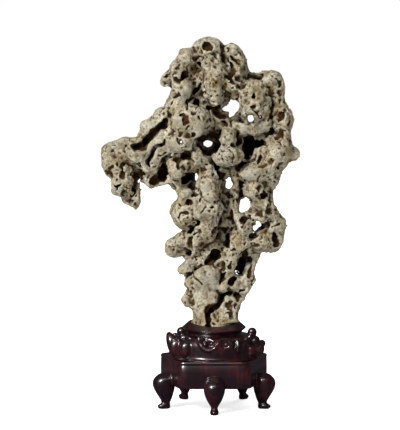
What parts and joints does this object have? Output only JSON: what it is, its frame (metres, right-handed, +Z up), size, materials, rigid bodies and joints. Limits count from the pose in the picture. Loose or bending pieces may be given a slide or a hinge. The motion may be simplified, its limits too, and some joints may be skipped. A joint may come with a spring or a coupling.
{
  "type": "scholar's rock on a carved wooden stand",
  "caption": "Pierced, furrowed limestone scholar's rock resting in the socket of a carved dark hardwood stand on cabriole legs.",
  "frame": {"origin": "on the floor, under the middle of the bounding box of the rock and its stand", "axes": "+Z up, along the rock's height; -Y towards the viewer of the front; +X to the viewer's right, away from the rock's arm"},
  "size_m": [0.3019, 0.1781, 0.5547],
  "materials": {
    "stone": "weathered, matt",
    "wood": "dark hardwood, waxed and polished"
  },
  "bodies": {
    "root": {"rock": "stone", "stand_top": "wood", "stand_drum": "wood", "leg_front": "wood", "leg_right": "wood", "leg_back_right": "wood", "leg_back_left": "wood", "leg_left": "wood"}
  },
  "joints": []
}
